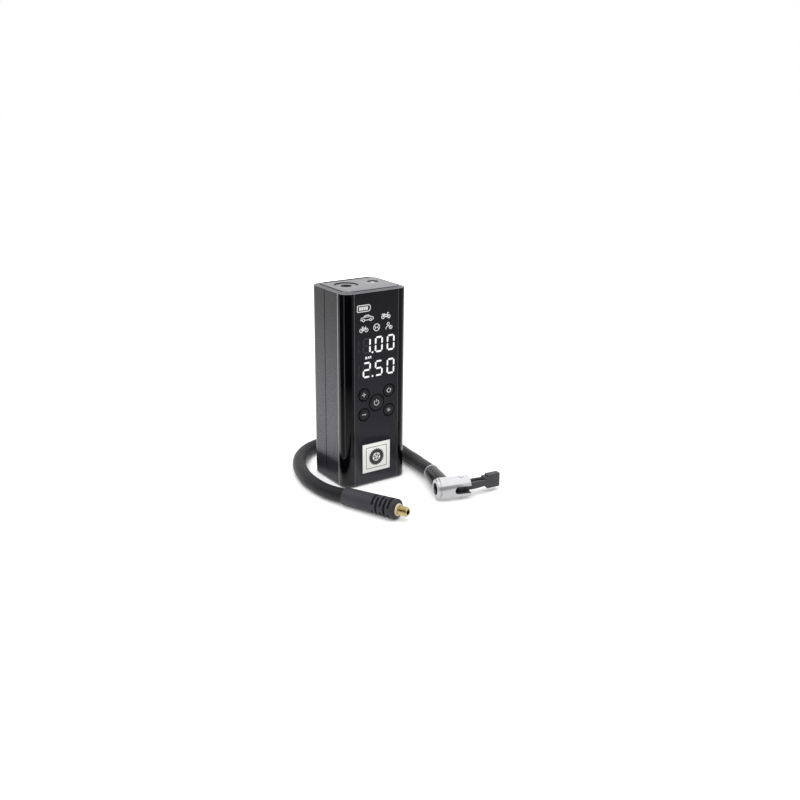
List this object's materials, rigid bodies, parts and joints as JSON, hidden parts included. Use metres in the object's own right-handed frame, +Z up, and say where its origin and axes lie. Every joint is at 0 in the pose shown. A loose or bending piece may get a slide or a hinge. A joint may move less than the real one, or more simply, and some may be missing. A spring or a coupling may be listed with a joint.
{
  "type": "portable tire inflator",
  "caption": "Handheld cordless air pump: upright square case with display, round keys and top outlet, and a loose hose with threaded end and lever valve chuck",
  "frame": {"origin": "centre of the case's footprint, on the surface that it stands on", "axes": "X runs along the display face, -Y is the display side, Z is up"},
  "size_m": [0.1409, 0.1823, 0.1715],
  "materials": {
    "gloss_black": "deep polished black",
    "panel_black": "smoked clear panel over a dark display",
    "badge_white": "satin off-white",
    "textured_black": "black with a fine diamond dot grain",
    "cap_grey": "fine satin dark grey",
    "base_black": "satin black",
    "foot_rubber": "matte black rubber",
    "screw_steel": "zinc plated",
    "button_black": "satin black key",
    "board_green": "green solder mask",
    "switch_grey": "grey switch body",
    "display_white": "white light box",
    "cell_wrap": "blue shrink wrap",
    "frame_plastic": "natural moulded plastic",
    "strap_nickel": "bright nickel",
    "lens_clear": "clear lens",
    "brass": "machined brass",
    "port_black": "black moulded thread insert",
    "seal_rubber": "soft black rubber",
    "motor_steel": "plated steel",
    "magnet_iron": "dark sintered magnet",
    "rotor_copper": "copper windings on laminated iron",
    "cast_alloy": "as-cast alloy",
    "gear_plastic": "natural engineering plastic",
    "hose_black": "black braided cover",
    "grip_rubber": "matte black rubber",
    "washer_white": "pale sealing washer",
    "ferrule_black": "smooth black",
    "chrome": "bright chrome plate",
    "lever_black": "satin black"
  },
  "bodies": {
    "case": {"front_cover": "gloss_black", "display_panel": "panel_black", "badge_plate": "badge_white", "mid_frame": "textured_black", "rear_cover": "textured_black", "top_cap": "cap_grey", "top_plate": "cap_grey", "bottom_cap": "base_black", "feet": "foot_rubber", "case_screws": "screw_steel", "control_board": "board_green", "board_screws": "screw_steel", "tact_switches": "switch_grey", "display_module": "display_white", "power_board": "board_green", "charge_socket": "screw_steel", "battery_cells": "cell_wrap", "battery_cradle": "frame_plastic", "cell_straps": "strap_nickel", "lamp_board": "display_white", "lamp_lens": "lens_clear", "outlet_port": "port_black", "air_tube": "seal_rubber", "motor_can": "motor_steel", "motor_end_bell": "frame_plastic", "motor_magnets": "magnet_iron", "motor_bushes": "brass", "motor_screws": "screw_steel", "pump_frame": "cast_alloy", "frame_screws": "screw_steel", "gear_axle": "screw_steel", "axle_clip": "screw_steel", "pump_cylinder": "cast_alloy", "valve_plate": "motor_steel", "cylinder_head": "cast_alloy", "head_screws": "screw_steel", "hose": "hose_black", "hose_grip": "grip_rubber", "fitting_seal": "washer_white", "hose_fitting": "brass", "hose_ferrule": "ferrule_black", "crimp_ring": "chrome", "chuck_body": "chrome", "chuck_seal": "seal_rubber", "lever_pin": "chrome"},
    "button_plus": {"button_plus": "button_black"},
    "button_minus": {"button_minus": "button_black"},
    "button_power": {"button_power": "button_black"},
    "button_mode": {"button_mode": "button_black"},
    "button_light": {"button_light": "button_black"},
    "rotor": {"rotor": "rotor_copper", "motor_shaft": "screw_steel", "pinion": "brass"},
    "crank": {"crank_gear": "gear_plastic"},
    "piston": {"piston": "gear_plastic", "piston_seal": "seal_rubber", "wrist_pin": "screw_steel"},
    "rod": {"connecting_rod": "cast_alloy", "crank_pin": "screw_steel"},
    "lever": {"chuck_lever": "lever_black"}
  },
  "joints": [
    {"name": "plus_press", "type": "slide", "parent": "case", "child": "button_plus", "axis": [0, 1, 0], "range_m": [0, 0.0005], "stiffness_N_per_m": 600},
    {"name": "minus_press", "type": "slide", "parent": "case", "child": "button_minus", "axis": [0, 1, 0], "range_m": [0, 0.0005], "stiffness_N_per_m": 600},
    {"name": "power_press", "type": "slide", "parent": "case", "child": "button_power", "axis": [0, 1, 0], "range_m": [0, 0.0005], "stiffness_N_per_m": 600},
    {"name": "mode_press", "type": "slide", "parent": "case", "child": "button_mode", "axis": [0, 1, 0], "range_m": [0, 0.0005], "stiffness_N_per_m": 600},
    {"name": "light_press", "type": "slide", "parent": "case", "child": "button_light", "axis": [0, 1, 0], "range_m": [0, 0.0005], "stiffness_N_per_m": 600},
    {"name": "motor_spin", "type": "hinge", "parent": "case", "child": "rotor", "pos_m": [0.004, 0.0027, 0.0832], "axis": [1, 0, 0], "continuous": true},
    {"name": "crank_spin", "type": "hinge", "parent": "case", "child": "crank", "pos_m": [0.0095, 0.0027, 0.1042], "axis": [1, 0, 0], "continuous": true},
    {"name": "piston_slide", "type": "slide", "parent": "case", "child": "piston", "axis": [0, 0, 1], "range_m": [0, 0.01]},
    {"name": "rod_swing", "type": "hinge", "parent": "piston", "child": "rod", "pos_m": [0.0137, 0.0027, 0.12736], "axis": [1, 0, 0], "range_deg": [-10.3, 10.3]},
    {"name": "lever_turn", "type": "hinge", "parent": "case", "child": "lever", "pos_m": [0.04256, -0.09179, 0.0096], "axis": [0, 0, 1], "range_deg": [-90, 5]}
  ],
  "couplings": [
    {"joint": "crank_spin", "follows": "motor_spin", "ratio": -0.25}
  ]
}
